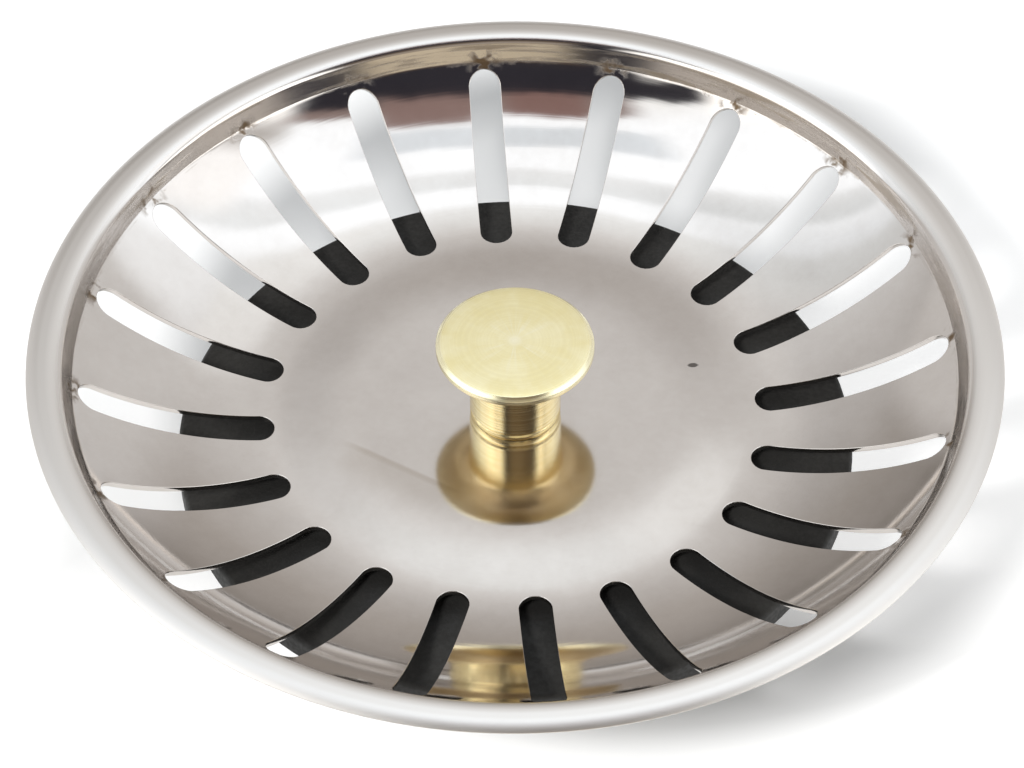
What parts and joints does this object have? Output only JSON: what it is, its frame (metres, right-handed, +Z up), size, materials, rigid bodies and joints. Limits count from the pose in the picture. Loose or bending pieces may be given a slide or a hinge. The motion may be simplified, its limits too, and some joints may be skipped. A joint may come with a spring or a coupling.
{
  "type": "sink plug",
  "caption": "Slotted steel basket strainer plug for a kitchen sink, with a brass knob, a rubber seal under the bowl and a post with sprung catch balls.",
  "frame": {"origin": "centre of the flat tip of the post, which the plug stands on", "axes": "+Z up along the axis of the knob and the post, +X through the right catch ball"},
  "size_m": [0.08, 0.08, 0.0324],
  "materials": {
    "basket_steel": "polished stainless sheet with fine turning marks",
    "knob_brass": "turned brass, satin",
    "plate_steel": "stamped stainless",
    "seal_rubber": "moulded black rubber",
    "fastener_steel": "plain stainless fastener",
    "post_brass": "turned brass",
    "ball_steel": "bright ground ball",
    "spring_steel": "drawn spring wire"
  },
  "bodies": {
    "plug": {"strainer_basket": "basket_steel", "knob": "knob_brass", "threaded_stud": "fastener_steel", "upper_clamp_washer": "plate_steel", "seal_disc": "seal_rubber", "lower_clamp_plate": "plate_steel", "lock_washer": "fastener_steel", "clamp_nut": "fastener_steel", "catch_post": "post_brass", "catch_spring": "spring_steel"},
    "ball_right": {"catch_ball_right": "ball_steel"},
    "ball_left": {"catch_ball_left": "ball_steel"}
  },
  "joints": [
    {"name": "ball_right_press", "type": "slide", "parent": "plug", "child": "ball_right", "axis": [-1, 0, 0], "range_m": [0, 0.0009], "stiffness_N_per_m": 1000, "springref_m": -0.0006, "deforming": ["catch_spring"]},
    {"name": "ball_left_press", "type": "slide", "parent": "plug", "child": "ball_left", "axis": [1, 0, 0], "range_m": [0, 0.0009], "stiffness_N_per_m": 1000, "springref_m": -0.0006, "deforming": ["catch_spring"]}
  ]
}
